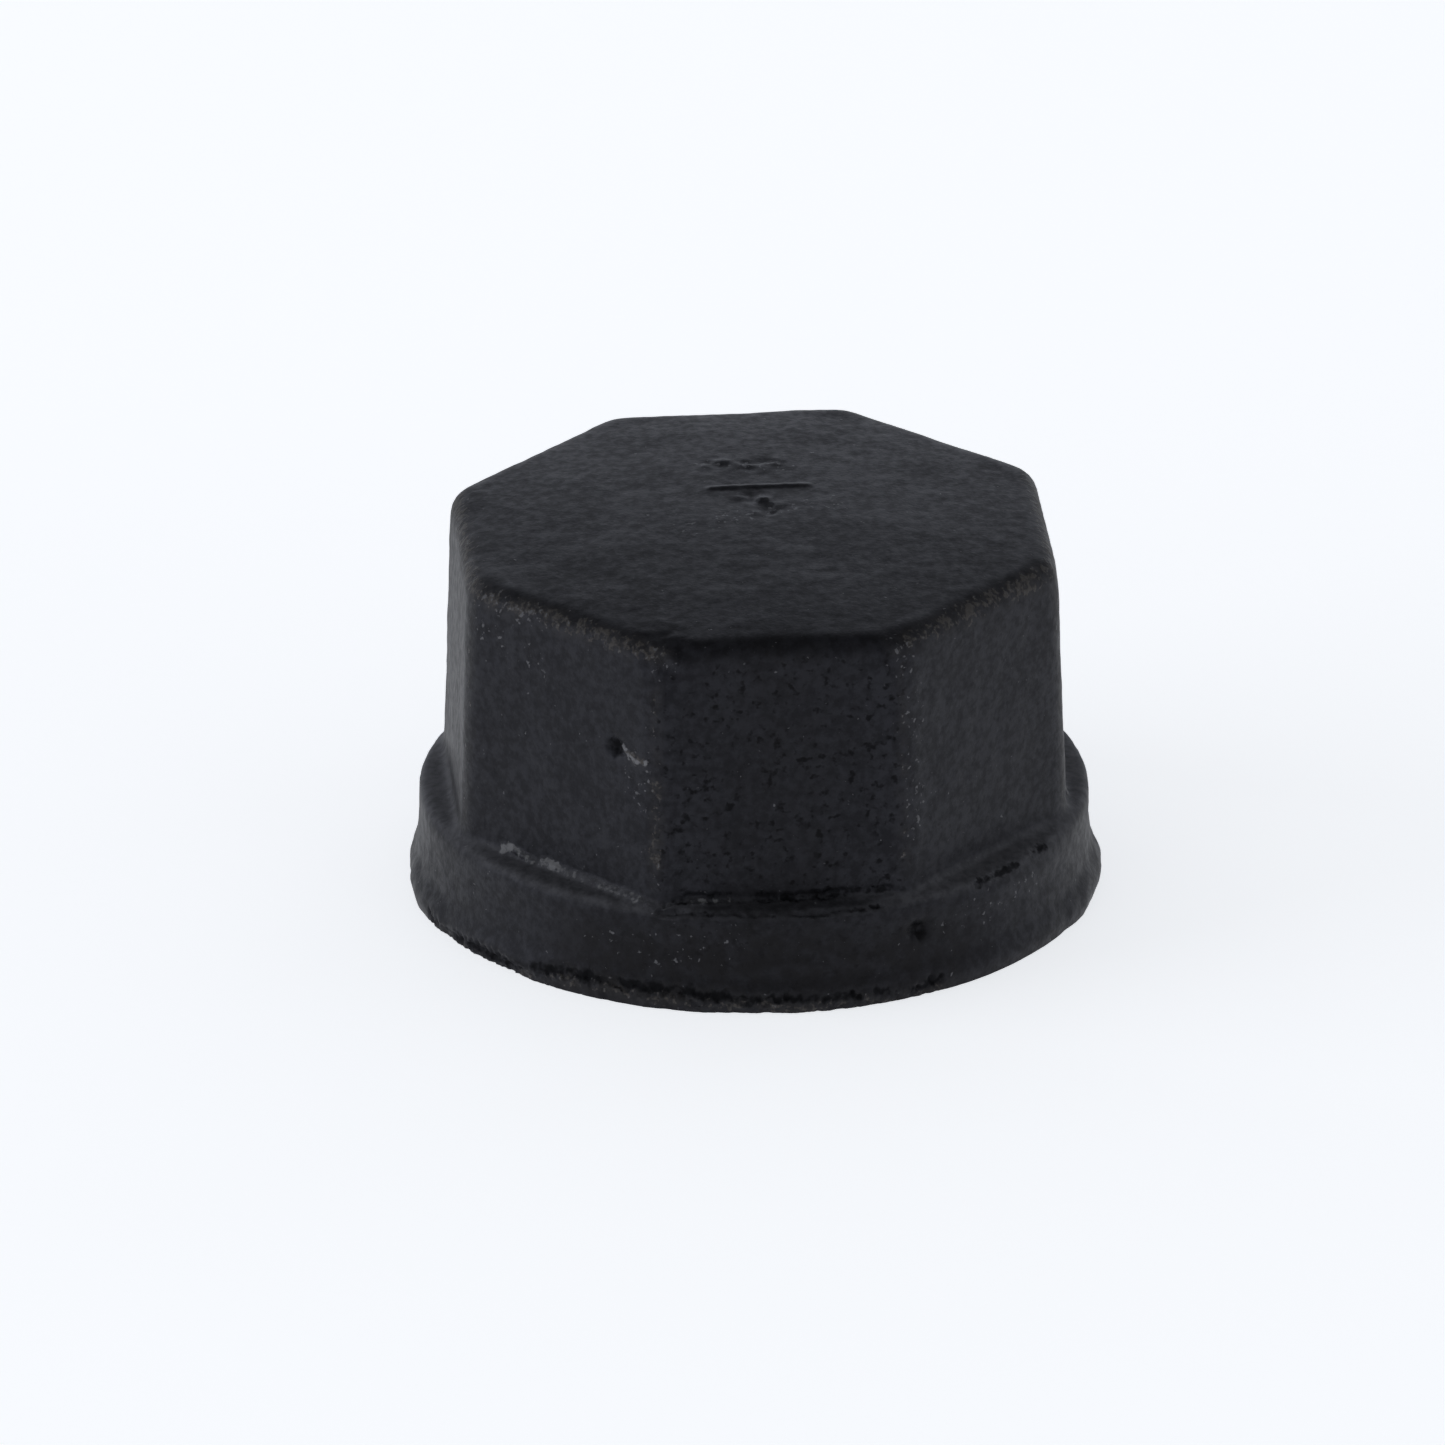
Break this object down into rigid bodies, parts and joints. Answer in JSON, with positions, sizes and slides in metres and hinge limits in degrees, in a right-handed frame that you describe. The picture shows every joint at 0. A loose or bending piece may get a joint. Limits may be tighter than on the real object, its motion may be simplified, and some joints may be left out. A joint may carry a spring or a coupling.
{
  "type": "pipe cap",
  "caption": "Screwed pipe cap in black malleable iron, with an octagonal body closed by a shallow crown, a round band and flared lip at its mouth, and a parallel pipe thread inside.",
  "frame": {"origin": "centre of the faced rim at the open mouth", "axes": "+Z along the thread's axis, from the open mouth towards the closed crown; +X and +Y are square to flats of the octagon, and the bar on the crown lies along X on its +Y side"},
  "size_m": [0.0388, 0.0388, 0.0223],
  "materials": {
    "black_iron": "black varnish over rough as-cast iron"
  },
  "bodies": {
    "root": {"cap_casting": "black_iron"}
  },
  "joints": []
}
